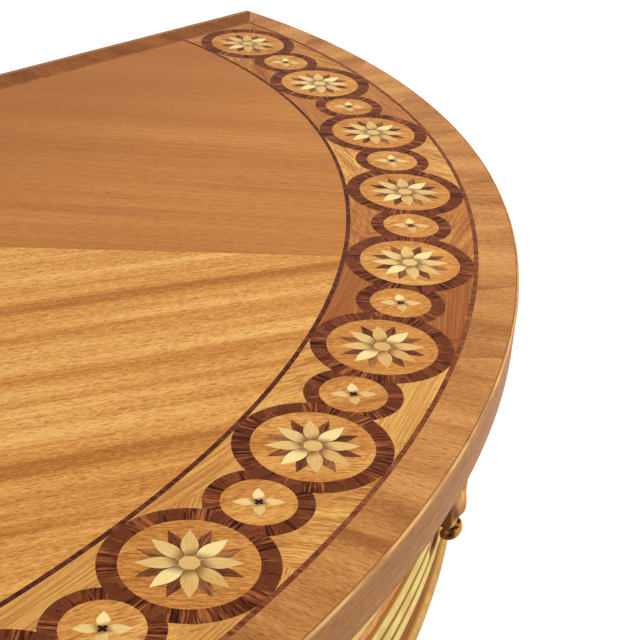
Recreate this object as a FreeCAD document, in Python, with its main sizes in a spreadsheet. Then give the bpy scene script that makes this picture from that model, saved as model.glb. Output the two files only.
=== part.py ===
import FreeCAD, Part
import math
import os
import Sketcher
from FreeCAD import Placement, Rotation, Vector

# Demilune table: a half-elliptical marquetry top on a bowed giltwood base with four fluted legs.
# Millimetres, +Z up, origin on the floor under the middle of the top, +Y towards the wall.

driving_sizes = [
    # top
    ("top_half_width", 670),
    ("top_depth", 570),
    ("table_height", 860),
    ("top_thickness", 25),
    ("veneer_thickness", 1.2),
    ("lipping_width", 4),
    ("arris_radius", 2),
    ("border_width", 23.4),
    ("stringing_width", 2.6),
    ("band_width", 73),
    ("fan_panels", 4),
    ("crossband_pieces", 18),
    # guilloche roundels
    ("ring_width", 7.6),
    ("ring_bite", 0.4),
    ("small_radius", 24.2),
    ("roundel_bridge", 5.5),
    ("petal_margin", 7),
    ("petal_width", 7.2),
    ("petal_foot", 2.4),
    ("point_margin", 6.6),
    ("point_root", 11),
    ("point_width", 4.2),
    ("button_radius", 4.3),
    ("small_petal_margin", 5.8),
    ("small_petal_width", 4.8),
    ("small_petal_foot", 2.2),
    ("eye_radius", 2.4),
    # apron
    ("apron_height", 135),
    ("facing_inset", 25),
    ("facing_thickness", 3),
    ("rail_thickness", 22),
    ("wall_setback", 8),
    ("bead_drop", 47),
    ("bead_radius", 3),
    ("reed_drop", 66),
    ("reed_height", 13.5),
    ("reed_rise", 2),
    ("torus_lift", 5.4),
    ("torus_radius", 4.3),
    # legs
    ("front_leg_angle", 60),
    ("head_size", 60),
    ("seat_gap", 0.2),
    ("foot_pad_radius", 13),
    ("foot_swell", 7.5),
    ("foot_height", 62),
    ("ankle_radius", 12),
    ("ring_height", 9),
    ("ring_roundness", 0.45),
    ("shaft_foot_radius", 15.5),
    ("shaft_head_radius", 25),
    ("collar_height", 12),
    ("neck_height", 24),
    ("neck_hollow", 5),
    ("capital_height", 50),
    ("capital_radius", 29.5),
    ("capital_hollow", 3),
    ("flute_count", 12),
    ("flute_fill", 0.68),
    ("flute_margin", 18),
    # carved leaves
    ("leaf_height", 87),
    ("leaf_width", 52),
    ("leaf_projection", 15),
    ("leaf_drop", 6),
    ("leaf_gap", 0.3),
    # joinery
    ("tenon_length", 40),
    ("tenon_thickness", 10),
    ("tenon_height", 80),
    ("bearer_leg_distance", 107),
    ("bearer_width", 40),
    ("bearer_height", 24),
    ("block_length", 60),
    ("block_depth", 25),
    ("block_height", 30),
    ("back_block_offset", 400),
    ("screw_radius", 2),
    ("screw_head_radius", 4),
    ("screw_head_height", 3),
    ("screw_bite", 12),
    # length by which a cutting solid passes what it cuts
    ("overcut", 20),
]

doc = FreeCAD.newDocument("DemiluneTable")
sheet = doc.addObject("Spreadsheet::Sheet", "Sizes")
for row, (alias, number) in enumerate(driving_sizes, start=1):
    sheet.set(f"A{row}", alias)
    sheet.set(f"B{row}", str(number))
    sheet.setAlias(f"B{row}", alias)
doc.recompute()


class Dim:
    """A number together with the sheet formula that gives it."""

    def __init__(self, value, text):
        self.value = value
        self.text = text

    def __add__(self, other):
        other = as_dim(other)
        return Dim(self.value + other.value, f"({self.text} + {other.text})")

    def __sub__(self, other):
        other = as_dim(other)
        return Dim(self.value - other.value, f"({self.text} - {other.text})")

    def __mul__(self, other):
        other = as_dim(other)
        return Dim(self.value * other.value, f"({self.text} * {other.text})")

    def __truediv__(self, other):
        other = as_dim(other)
        return Dim(self.value / other.value, f"({self.text} / {other.text})")

    def __rsub__(self, other):
        return as_dim(other) - self

    def __rmul__(self, other):
        return as_dim(other) * self


def as_dim(value):
    return value if isinstance(value, Dim) else Dim(float(value), str(value))


def size(alias):
    return Dim(float(sheet.get(alias)), f"Sizes.{alias}")


def count(alias):
    return int(round(float(sheet.get(alias))))


def bind(obj, **dims):
    for prop, dim in dims.items():
        obj.setExpression(prop, as_dim(dim).text)


def bind_place(obj, x=0, y=0, z=0):
    for axis, dim in (("x", x), ("y", y), ("z", z)):
        obj.setExpression(f"Placement.Base.{axis}", as_dim(dim).text)


half_width = size("top_half_width")
depth = size("top_depth")
back = depth / 2
top_z = size("table_height")
veneer = size("veneer_thickness")
veneer_z = top_z - veneer
under_z = top_z - size("top_thickness")
apron_z = under_z - size("apron_height")
over = size("overcut")
lipping = size("lipping_width")
border = size("border_width")
band_start = border + size("stringing_width")
band_end = band_start + size("band_width")
field_start = band_end + size("stringing_width")
facing_face = size("facing_inset")
facing_back = facing_face + size("facing_thickness")
rail_back = facing_back + size("rail_thickness")
setback = size("wall_setback")
head = size("head_size")

parts = []


def keep(obj, label):
    obj.Label = label
    parts.append(obj)
    return obj


# Plan geometry: every bowed line of the table is a half ellipse set in from the rim


def semi_axes(inset):
    return half_width - inset, depth - inset


def plan_point(inset, angle):
    along, across = semi_axes(inset)
    return Vector(along.value * math.cos(angle), back.value - across.value * math.sin(angle), 0)


def plan_normal(inset, angle):
    along, across = semi_axes(inset)
    normal = Vector(math.cos(angle) / along.value, -math.sin(angle) / across.value, 0)
    return normal.normalize()


def pace(inset, angle):
    # how far the half ellipse runs for each radian of its angle
    along, across = (axis.value for axis in semi_axes(inset))
    return math.hypot(along * math.sin(angle), across * math.cos(angle))


def step_along(inset, angle, distance):
    halfway = angle + distance / 2 / pace(inset, angle)
    return angle + distance / pace(inset, halfway)


def bow(inset, angle, width):
    # how far the half ellipse bows away from a flat face of this width
    along, across = (axis.value for axis in semi_axes(inset))
    radius = pace(inset, angle) ** 3 / (along * across)
    return radius - math.sqrt(radius ** 2 - (width / 2) ** 2)


def facing_frame(point, normal):
    # local +Y points outwards along the normal, local +X along the bow
    turn = math.degrees(math.atan2(normal.y, normal.x)) - 90
    return Placement(point, Rotation(Vector(0, 0, 1), turn))


def ellipse_line(name, inset, level, span=None):
    along, across = semi_axes(inset)
    line = doc.addObject("Part::Ellipse", name)
    turned = across.value > along.value
    bind(line, MajorRadius=across if turned else along, MinorRadius=along if turned else across)
    line.Placement.Rotation = Rotation(Vector(0, 0, 1), 90 if turned else 0)
    bind_place(line, y=back, z=level)
    if span:
        start = 270 if turned else 360
        line.Angle1 = start - math.degrees(span[1])
        line.Angle2 = start - math.degrees(span[0])
    return line


def ellipse_prism(name, inset, bottom, height):
    prism = doc.addObject("Part::Extrusion", name)
    prism.Base = ellipse_line(name + "_line", inset, bottom)
    prism.DirMode = "Custom"
    prism.Dir = Vector(0, 0, 1)
    prism.Solid = True
    bind(prism, LengthFwd=height)
    return prism


def block(name, x, y, z, length, width, height):
    box = doc.addObject("Part::Box", name)
    bind(box, Length=length, Width=width, Height=height)
    bind_place(box, x, y, z)
    return box


def framed_block(name, frame, x, y, z, length, width, height):
    box = doc.addObject("Part::Box", name)
    bind(box, Length=length, Width=width, Height=height)
    corner = Vector(*(as_dim(number).value for number in (x, y, z)))
    box.Placement = frame.multiply(Placement(corner, Rotation()))
    return box


def boolean(kind, name, base, tool):
    result = doc.addObject("Part::" + kind, name)
    result.Base = base
    result.Tool = tool
    return result


def group(name, members):
    compound = doc.addObject("Part::Compound", name)
    compound.Links = members
    return compound


def half_plate(name, inset, back_inset, bottom, height):
    front = block(name + "_front", 0 - half_width - over, 0 - back - over, bottom,
                  half_width * 2 + over * 2, depth + over - back_inset, height)
    return boolean("Common", name, ellipse_prism(name + "_prism", inset, bottom, height), front)


def bowed_strip(name, outer, inner, back_inset, bottom, height):
    blank = half_plate(name + "_blank", outer, back_inset, bottom, height)
    inside = ellipse_prism(name + "_inside", inner, bottom - over, height + over * 2)
    return boolean("Cut", name, blank, inside)


def back_strip(name, near, far, end_inset, bottom, height):
    strip = block(name + "_strip", 0 - half_width, back - far, bottom, half_width * 2, far - near, height)
    ends = ellipse_prism(name + "_ends", end_inset, bottom - over, height + over * 2)
    return boolean("Common", name, strip, ends)


# Sketch helper: an outline of corners, with an arc wherever a side is given a rise


def outline(sketch, corners):
    """corners: (x, y, rise of the side that leaves it; 0 is straight, positive bulges to its right)."""
    sides = len(corners)
    for index, (x, y, rise) in enumerate(corners):
        start = Vector(as_dim(x).value, as_dim(y).value, 0)
        x_next, y_next = (as_dim(number) for number in corners[(index + 1) % sides][:2])
        end = Vector(x_next.value, y_next.value, 0)
        if as_dim(rise).value == 0:
            sketch.addGeometry(Part.LineSegment(start, end))
            continue
        chord = end - start
        bulge = Vector(chord.y, -chord.x, 0).normalize() * as_dim(rise).value
        sketch.addGeometry(Part.ArcOfCircle(start, (start + end) * 0.5 + bulge, end))
    ends = [joint_ends(sketch, index) for index in range(sides)]
    for index, (x, y, rise) in enumerate(corners):
        after = (index + 1) % sides
        sketch.addConstraint(
            Sketcher.Constraint("Coincident", index, ends[index][1], after, ends[after][0]))
        pin_point(sketch, index, ends[index][0], x, y)
        if as_dim(rise).value:
            x_next, y_next = corners[after][:2]
            fix_radius(sketch, index, as_dim(x_next) - x, as_dim(y_next) - y, as_dim(rise))


def joint_ends(sketch, index):
    # an arc that runs clockwise starts at its second point
    geometry = sketch.Geometry[index]
    if isinstance(geometry, Part.LineSegment):
        return 1, 2
    clockwise = geometry.Axis.z < 0
    return (2, 1) if clockwise else (1, 2)


def pin_point(sketch, index, end, x, y):
    for kind, dim in (("DistanceX", as_dim(x)), ("DistanceY", as_dim(y))):
        spot = sketch.addConstraint(Sketcher.Constraint(kind, -1, 1, index, end, dim.value))
        if isinstance(dim, Dim) and "Sizes" in dim.text:
            sketch.setExpression(f"Constraints[{spot}]", dim.text)


def fix_radius(sketch, index, run_x, run_y, rise):
    rise = rise if rise.value > 0 else 0 - rise
    radius = ((run_x * run_x + run_y * run_y) / 4 + rise * rise) / (2 * rise)
    spot = sketch.addConstraint(Sketcher.Constraint("Radius", index, radius.value))
    sketch.setExpression(f"Constraints[{spot}]", radius.text)


def origin_plane(body, role):
    return next(feature for feature in body.Origin.OriginFeatures if feature.Role == role)


def sketch_on(body, role, name, level=0):
    sketch = body.newObject("Sketcher::SketchObject", name)
    sketch.AttachmentSupport = (origin_plane(body, role), [""])
    sketch.MapMode = "FlatFace"
    if isinstance(level, Dim):
        sketch.setExpression("AttachmentOffset.Base.z", level.text)
    return sketch


def padded(name, corners, bottom, height):
    body = doc.addObject("PartDesign::Body", name)
    sketch = sketch_on(body, "XY_Plane", name + "_plan", bottom)
    outline(sketch, corners)
    pad = body.newObject("PartDesign::Pad", name + "_pad")
    pad.Profile = sketch
    bind(pad, Length=height)
    return body


# Glue blocks and the screws that hold the top down

block_spots = []
for share in (1 / 3, 2 / 3):
    side_angle = math.radians(float(sheet.get("front_leg_angle"))) * share
    block_spots += [side_angle, math.pi - side_angle]
block_spots.append(math.pi / 2)

block_frames = []
for angle in block_spots:
    face = plan_normal(rail_back, angle)
    sink = bow(rail_back, angle, float(sheet.get("block_length"))) + float(sheet.get("seat_gap"))
    block_frames.append(facing_frame(plan_point(rail_back, angle) - face * sink, face))
back_rail_face = back - setback - size("rail_thickness")
for side in (-1, 1):
    spot = Vector(side * float(sheet.get("back_block_offset")), back_rail_face.value, 0)
    block_frames.append(facing_frame(spot, Vector(0, 1, 0)))

block_bottom = under_z - size("block_height")
screws = []
blocks = []
for index, frame in enumerate(block_frames, start=1):
    wood = framed_block(f"block_blank_{index}", frame, 0 - size("block_length") / 2, 0 - size("block_depth"),
                        block_bottom, size("block_length"), size("block_depth"), size("block_height"))
    middle = frame.multVec(Vector(0, -float(sheet.get("block_depth")) / 2, 0))
    shank = doc.addObject("Part::Cylinder", f"screw_shank_{index}")
    bind(shank, Radius=size("screw_radius"), Height=size("block_height") + size("screw_bite"))
    shank.Placement.Base = middle
    shank.setExpression("Placement.Base.z", block_bottom.text)
    cone = doc.addObject("Part::Cone", f"screw_cone_{index}")
    bind(cone, Radius1=size("screw_head_radius"), Radius2=size("screw_radius"),
         Height=size("screw_head_height"))
    cone.Placement.Base = middle
    cone.setExpression("Placement.Base.z", block_bottom.text)
    screw = boolean("Fuse", f"screw_{index}", shank, cone)
    screws.append(screw)
    blocks.append(boolean("Cut", f"block_{index}", wood, screw))
top_screws = keep(group("top_screws", screws), "top_screws")
keep(group("glue_blocks", blocks), "glue_blocks")

# Top: core board, lippings, border, stringing and field

core_board = half_plate("core_board", lipping, lipping, under_z, size("top_thickness") - veneer)
keep(boolean("Cut", "top_core", core_board, top_screws), "top_core")

rim = bowed_strip("rim", as_dim(0), lipping, as_dim(0), under_z, size("top_thickness"))
keep(back_strip("back_lipping", as_dim(0), lipping, lipping, under_z, size("top_thickness")), "back_lipping")

back_crossband = padded("back_crossband", [
    (lipping - half_width, back - lipping, 0),
    (border - half_width, back - border, 0),
    (half_width - border, back - border, 0),
    (half_width - lipping, back - lipping, 0),
], veneer_z, veneer)
keep(back_crossband, "back_crossband")
rim_band = bowed_strip("rim_band", lipping, border, lipping, veneer_z, veneer)
rim_crossband_blank = boolean("Cut", "rim_crossband_blank", rim_band, back_crossband)

keep(bowed_strip("outer_stringing", border, band_start, band_start, veneer_z, veneer), "outer_stringing")
keep(back_strip("back_stringing", border, band_start, border, veneer_z, veneer), "back_stringing")
keep(bowed_strip("inner_stringing", band_end, field_start, band_start, veneer_z, veneer), "inner_stringing")
band_blank = bowed_strip("band_blank", band_start, band_end, band_start, veneer_z, veneer)

field_names = ["field_panel_right", "field_panel_centre_right", "field_panel_centre_left", "field_panel_left"]
field_blank = half_plate("field_blank", field_start, band_start, veneer_z, veneer)
fan_angle = 180 / count("fan_panels")
for index in range(count("fan_panels")):
    sector = doc.addObject("Part::Cylinder", f"fan_sector_{index}")
    bind(sector, Radius=half_width + depth, Height=veneer)
    sector.setExpression("Angle", "180 / Sizes.fan_panels")
    bind_place(sector, y=back, z=veneer_z)
    sector.Placement.Rotation = Rotation(Vector(0, 0, 1), -fan_angle * (index + 1))
    label = field_names[index] if count("fan_panels") == len(field_names) else f"field_panel_{index}"
    keep(boolean("Common", label, field_blank, sector), label)

doc.recompute()

# Edge lipping: its top outer arris is rounded over


def arris_edges(shape):
    # the upper edge that passes through the front of the rim
    tolerance = 0.001
    front = plan_point(as_dim(0), math.pi / 2) + Vector(0, 0, top_z.value)
    return [index for index, edge in enumerate(shape.Edges, start=1)
            if edge.distToShape(Part.Vertex(front))[0] < tolerance]


edge_lipping = doc.addObject("Part::Fillet", "edge_lipping")
edge_lipping.Base = rim
arris = float(sheet.get("arris_radius"))
edge_lipping.Edges = [(index, arris, arris) for index in arris_edges(rim.Shape)]
keep(edge_lipping, "edge_lipping")


# Marquetry: pieces that repeat along the band are cut from the veneer's own thickness


def veneer_group(label, shapes):
    feature = doc.addObject("Part::Feature", label)
    feature.Shape = Part.makeCompound(shapes)
    return keep(feature, label)


def disc(centre, radius):
    return Part.makeCylinder(radius, veneer.value, Vector(centre.x, centre.y, veneer_z.value))


def slab(wire):
    face = Part.Face(Part.Wire(wire))
    face.translate(Vector(0, 0, veneer_z.value))
    return face.extrude(Vector(0, 0, veneer.value))


def petal(foot_radius, tip_radius, width, foot_width, swell=0.46):
    # a pointed oval on +X: flat foot against the centre, two arcs that meet at the tip
    belly = foot_radius + (tip_radius - foot_radius) * swell
    heel = math.sqrt(foot_radius ** 2 - (foot_width / 2) ** 2)
    tip = Vector(tip_radius, 0, 0)
    low, high = Vector(heel, -foot_width / 2, 0), Vector(heel, foot_width / 2, 0)
    lower = Part.Arc(low, Vector(belly, -width / 2, 0), tip).toShape()
    upper = Part.Arc(tip, Vector(belly, width / 2, 0), high).toShape()
    foot = Part.Arc(high, Vector(foot_radius, 0, 0), low).toShape()
    return slab([lower, upper, foot])


def point(root_radius, tip_radius, width):
    # a kite on +X, widest halfway
    middle = (root_radius + tip_radius) / 2
    corners = [Vector(root_radius, 0, 0), Vector(middle, -width / 2, 0),
               Vector(tip_radius, 0, 0), Vector(middle, width / 2, 0)]
    return slab(Part.makePolygon(corners + corners[:1]).Edges)


def ring_of(shape, number, first_angle):
    turned = []
    for index in range(number):
        copy = shape.copy()
        copy.rotate(Vector(0, 0, 0), Vector(0, 0, 1), first_angle + 360 / number * index)
        turned.append(copy)
    return turned


def moved(shapes, centres):
    placed = []
    for centre in centres:
        for shape in shapes:
            copy = shape.copy()
            copy.translate(centre)
            placed.append(copy)
    return placed


def roundel_centres(pitch):
    # equal steps of arc along the middle of the band, a large roundel at each end and at the front
    along, across = (axis.value for axis in semi_axes((band_start + band_end) / 2))
    steps = 3600
    points = [Vector(along * math.cos(math.pi * step / steps),
                     back.value - across * math.sin(math.pi * step / steps), 0) for step in range(steps + 1)]
    travelled = [0]
    for before, after in zip(points, points[1:]):
        travelled.append(travelled[-1] + after.distanceToPoint(before))
    first = band_start.value + float(sheet.get("band_width")) / 2
    run = travelled[-1] - 2 * first
    intervals = 2 * max(1, round(run / pitch / 2))
    centres = []
    step = 0
    for index in range(intervals + 1):
        target = first + run * index / intervals
        while travelled[step + 1] < target:
            step += 1
        share = (target - travelled[step]) / (travelled[step + 1] - travelled[step])
        centres.append(points[step] + (points[step + 1] - points[step]) * share)
    return centres


ring_width = float(sheet.get("ring_width"))
large_outer = float(sheet.get("band_width")) / 2 + float(sheet.get("ring_bite"))
large_inner = large_outer - float(sheet.get("ring_bite")) - ring_width
small_outer = float(sheet.get("small_radius"))
small_inner = small_outer - ring_width
centres = roundel_centres(large_inner + small_inner + float(sheet.get("roundel_bridge")))
large_centres, small_centres = centres[0::2], centres[1::2]

large_outers = [disc(centre, large_outer) for centre in large_centres]
small_outers = [disc(centre, small_outer) for centre in small_centres]
large_inners = [disc(centre, large_inner) for centre in large_centres]
small_inners = [disc(centre, small_inner) for centre in small_centres]

veneer_group("band_ground", band_blank.Shape.cut(large_outers + small_outers).Solids)
large_rings = []
for index, outer in enumerate(large_outers):
    beside = small_inners[max(0, index - 1):index + 1]
    large_rings += outer.common(band_blank.Shape).cut([large_inners[index]] + beside).Solids
veneer_group("large_rings", large_rings)
small_rings = []
for index, outer in enumerate(small_outers):
    small_rings += outer.cut([small_inners[index]] + large_outers[index:index + 2]).Solids
veneer_group("small_rings", small_rings)

petal_count = 8
button_radius = float(sheet.get("button_radius"))
button = disc(Vector(0, 0, 0), button_radius)
petals = ring_of(petal(button_radius, large_inner - float(sheet.get("petal_margin")),
                       float(sheet.get("petal_width")), float(sheet.get("petal_foot"))), petal_count, 0)
points = ring_of(point(float(sheet.get("point_root")), large_inner - float(sheet.get("point_margin")),
                       float(sheet.get("point_width"))), petal_count, 180 / petal_count)
large_ground = disc(Vector(0, 0, 0), large_inner).cut(petals + points + [button])
veneer_group("large_grounds", moved(large_ground.Solids, large_centres))
veneer_group("large_petals", moved(petals, large_centres))
veneer_group("large_points", moved(points, large_centres))
veneer_group("large_buttons", moved([button], large_centres))

small_petal_count = 4
eye_radius = float(sheet.get("eye_radius"))
eye = disc(Vector(0, 0, 0), eye_radius)
small_petals = ring_of(petal(eye_radius, small_inner - float(sheet.get("small_petal_margin")),
                             float(sheet.get("small_petal_width")), float(sheet.get("small_petal_foot"))),
                       small_petal_count, 180 / small_petal_count)
small_ground = disc(Vector(0, 0, 0), small_inner).cut(small_petals + [eye])
veneer_group("small_grounds", moved(small_ground.Solids, small_centres))
veneer_group("small_petals", moved(small_petals, small_centres))
veneer_group("small_eyes", moved([eye], small_centres))

crossband = []
piece_angle = 180 / count("crossband_pieces")
reach = half_width.value + depth.value
for index in range(count("crossband_pieces")):
    wedge = Part.makeCylinder(reach, veneer.value, Vector(0, back.value, veneer_z.value),
                              Vector(0, 0, 1), piece_angle)
    wedge.rotate(Vector(0, back.value, 0), Vector(0, 0, 1), -piece_angle * (index + 1))
    crossband += rim_crossband_blank.Shape.common(wedge).Solids
veneer_group("rim_crossband", crossband)

# Legs: where they stand, and the frames of the carved leaves above them

front_angle = math.radians(float(sheet.get("front_leg_angle")))
seat_gap = float(sheet.get("seat_gap"))
half_head = head.value / 2
stations = {}
for label, angle in (("front_right", front_angle), ("front_left", math.pi - front_angle)):
    normal = plan_normal(facing_back, angle)
    sink = bow(facing_back, angle, head.value) + seat_gap + half_head
    stations[label] = {
        "angle": angle,
        "leg": facing_frame(plan_point(facing_back, angle) - normal * sink, normal),
        "leaf": facing_frame(plan_point(facing_face, angle), plan_normal(facing_face, angle)),
    }
along, across = (axis.value for axis in semi_axes(facing_back))
rear_corner = along * math.sqrt(1 - ((setback.value + head.value) / across) ** 2)
rear_x = rear_corner - seat_gap - half_head
rear_y = back.value - setback.value - half_head
leaf_angle = math.asin((setback.value + half_head) / semi_axes(facing_face)[1].value)
for label, side, angle in (("rear_right", 1, leaf_angle), ("rear_left", -1, math.pi - leaf_angle)):
    stations[label] = {
        "angle": angle,
        "leg": facing_frame(Vector(side * rear_x, rear_y, 0), Vector(side, 0, 0)),
        "leaf": facing_frame(plan_point(facing_face, angle), plan_normal(facing_face, angle)),
    }


# Loose tenons, half in the leg head and half in the rail

tenon_z = apron_z + (size("apron_height") - size("tenon_height")) / 2
tenon_half = size("tenon_length") / 2


def side_tenon(name, station, direction):
    # a tenon across the side of a leg head, in line with the bowed rail
    start = head / 2 * direction - tenon_half
    level = head / 2 - size("rail_thickness") / 2 - size("tenon_thickness") / 2
    return framed_block(name, stations[station]["leg"], start, level, tenon_z,
                        size("tenon_length"), size("tenon_thickness"), size("tenon_height"))


def back_tenon(name, side):
    start = side * (rear_x - half_head) - tenon_half
    y = back - setback - size("rail_thickness") / 2 - size("tenon_thickness") / 2
    box = doc.addObject("Part::Box", name)
    bind(box, Length=size("tenon_length"), Width=size("tenon_thickness"), Height=size("tenon_height"))
    box.Placement.Base = Vector(start.value, y.value, tenon_z.value)
    return box


tenons = {
    "front_right": [side_tenon("tenon_1", "front_right", 1), side_tenon("tenon_2", "front_right", -1)],
    "front_left": [side_tenon("tenon_3", "front_left", 1), side_tenon("tenon_4", "front_left", -1)],
    "rear_right": [side_tenon("tenon_5", "rear_right", 1), back_tenon("tenon_6", 1)],
    "rear_left": [side_tenon("tenon_7", "rear_left", -1), back_tenon("tenon_8", -1)],
}
rail_tenons = keep(group("rail_tenons", sum(tenons.values(), [])), "rail_tenons")

# Turned legs

ring_z = size("foot_height")
shaft_z = ring_z + size("ring_height")
capital_z = apron_z - size("capital_height")
upper_ring_z = capital_z - size("ring_height")
neck_z = upper_ring_z - size("neck_height")
collar_z = neck_z - size("collar_height")
shaft_foot = size("shaft_foot_radius")
shaft_head = size("shaft_head_radius")

leg_outline = [
    (0, 0, 0),
    (size("foot_pad_radius"), 0, size("foot_swell")),
    (size("ankle_radius"), ring_z, 0),
    (shaft_foot, ring_z, size("ring_height") * size("ring_roundness")),
    (shaft_foot, shaft_z, 0),
    (shaft_head, collar_z, size("collar_height") * size("ring_roundness")),
    (shaft_head, neck_z, 0 - size("neck_hollow")),
    (shaft_head, upper_ring_z, size("ring_height") * size("ring_roundness")),
    (shaft_head, capital_z, 0 - size("capital_hollow")),
    (size("capital_radius"), apron_z, 0),
    (0, apron_z, 0),
]


def shaft_radius(level):
    share = (level.value - shaft_z.value) / (collar_z.value - shaft_z.value)
    return shaft_foot.value + (shaft_head.value - shaft_foot.value) * share


def turned_leg(name, frame):
    body = doc.addObject("PartDesign::Body", name)
    profile = sketch_on(body, "XZ_Plane", name + "_profile")
    outline(profile, leg_outline)
    turning = body.newObject("PartDesign::Revolution", name + "_turning")
    turning.Profile = profile
    turning.ReferenceAxis = (profile, ["V_Axis"])
    turning.Angle = 360
    plan = sketch_on(body, "XY_Plane", name + "_head_plan", apron_z)
    low, high = 0 - head / 2, head / 2
    outline(plan, [(low, low, 0), (high, low, 0), (high, high, 0), (low, high, 0)])
    square = body.newObject("PartDesign::Pad", name + "_head")
    square.Profile = plan
    bind(square, Length=size("apron_height"))
    flute = flute_groove(body, name)
    fluting = body.newObject("PartDesign::PolarPattern", name + "_fluting")
    fluting.Originals = [flute]
    fluting.Axis = (profile, ["V_Axis"])
    fluting.Angle = 360
    bind(fluting, Occurrences=size("flute_count"))
    body.Tip = fluting
    body.Placement = frame
    return body


def flute_groove(body, name):
    # a tapering flute with rounded ends, turned about a line on the surface of the shaft
    pitch_share = math.pi / count("flute_count") * float(sheet.get("flute_fill"))
    low, high = shaft_z + size("flute_margin"), collar_z - size("flute_margin")
    low_centre, high_centre = (Vector(shaft_radius(level), level.value, 0) for level in (low, high))
    low_round, high_round = low_centre.x * pitch_share, high_centre.x * pitch_share
    up = (high_centre - low_centre).normalize()
    out = Vector(up.y, -up.x, 0)
    quarter = 1 - math.sqrt(0.5)
    sketch = sketch_on(body, "XZ_Plane", name + "_flute_half")
    corners = [(low_centre - up * low_round, quarter * low_round), (low_centre + out * low_round, 0),
               (high_centre + out * high_round, quarter * high_round), (high_centre + up * high_round, 0)]
    outline(sketch, [(corner.x, corner.y, rise) for corner, rise in corners])
    axis = sketch.addGeometry(Part.LineSegment(low_centre, high_centre), True)
    pin_point(sketch, axis, 1, low_centre.x, low_centre.y)
    pin_point(sketch, axis, 2, high_centre.x, high_centre.y)
    flute = body.newObject("PartDesign::Groove", name + "_flute")
    flute.Profile = sketch
    flute.ReferenceAxis = (sketch, ["Axis0"])
    flute.Angle = 360
    return flute


for label, station in stations.items():
    leg = turned_leg(f"turned_{label}", station["leg"])
    mortises = group(f"mortises_{label}", tenons[label])
    keep(boolean("Cut", f"leg_{label}", leg, mortises), f"leg_{label}")

# Rails and bearers

leg_x = stations["front_right"]["leg"].Base.x
regions = {
    "right": (leg_x, half_width.value + over.value),
    "centre": (-leg_x, leg_x),
    "left": (-half_width.value - over.value, -leg_x),
}


def region_box(name, region, bottom, height):
    low, high = regions[region]
    box = doc.addObject("Part::Box", name)
    box.Length = high - low
    bind(box, Width=depth + over * 2, Height=height)
    box.Placement.Base.x = low
    box.setExpression("Placement.Base.y", (0 - back - over).text)
    box.setExpression("Placement.Base.z", bottom.text)
    return box


rail_ring = bowed_strip("rail_ring", facing_back, rail_back, setback + head, apron_z, size("apron_height"))
head_slots = [
    framed_block(f"head_slot_{label}", stations[label]["leg"], 0 - head / 2, 0 - head / 2, apron_z - over,
                 head, head + over, size("apron_height") + over * 2)
    for label in ("front_right", "front_left")
]
rail_run = boolean("Cut", "rail_run", rail_ring, group("head_slots", head_slots))
for region in regions:
    piece = boolean("Common", f"rail_{region}", rail_run,
                    region_box(f"rail_{region}_span", region, apron_z, size("apron_height")))
    keep(boolean("Cut", f"apron_rail_{region}", piece, rail_tenons), f"apron_rail_{region}")

back_rail_end = rear_x - half_head
back_rail_blank = doc.addObject("Part::Box", "back_rail_blank")
back_rail_blank.Length = back_rail_end * 2
bind(back_rail_blank, Width=size("rail_thickness"), Height=size("apron_height"))
back_rail_blank.Placement.Base.x = -back_rail_end
back_rail_blank.setExpression("Placement.Base.y", back_rail_face.text)
back_rail_blank.setExpression("Placement.Base.z", apron_z.text)
keep(boolean("Cut", "back_rail", back_rail_blank, rail_tenons), "back_rail")

bearer_middle = leg_x - float(sheet.get("bearer_leg_distance"))
for label, side in (("bearer_right", 1), ("bearer_left", -1)):
    bar = block(label + "_blank", side * bearer_middle - size("bearer_width") / 2, 0 - back,
                under_z - size("bearer_height"), size("bearer_width"), back + back_rail_face,
                size("bearer_height"))
    room = ellipse_prism(label + "_room", rail_back, under_z - size("bearer_height") - over,
                         size("bearer_height") + over * 2)
    keep(boolean("Common", label, bar, room), label)

# Frieze facing and its mouldings: round-faced strips bent round the bow

keep(bowed_strip("frieze_facing", facing_face, facing_back, setback, apron_z, size("apron_height")),
     "frieze_facing")


def round_strip(name, half, rise, level, span):
    path = ellipse_line(name + "_path", facing_face, level, span)
    frame = facing_frame(plan_point(facing_face, span[1]), plan_normal(facing_face, span[1]))
    section = doc.addObject("Part::Ellipse", name + "_section")
    bind(section, MajorRadius=half, MinorRadius=rise)
    section.Placement = frame.multiply(Placement(Vector(0, 0, level.value), Rotation(Vector(0, 1, 0), 90)))
    rod = doc.addObject("Part::Sweep", name + "_rod")
    rod.Sections = [section]
    rod.Spine = (path, ["Edge1"])
    rod.Solid = True
    rod.Frenet = False
    behind = ellipse_prism(name + "_behind", facing_face, level - half - over, half * 2 + over * 2)
    return boolean("Cut", name, rod, behind)


torus_end = math.asin(setback.value / semi_axes(facing_face)[1].value)
torus_radius = size("torus_radius")
torus_z = apron_z + size("torus_lift") + torus_radius
keep(round_strip("base_torus", torus_radius, torus_radius, torus_z, (torus_end, math.pi - torus_end)),
     "base_torus")

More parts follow.
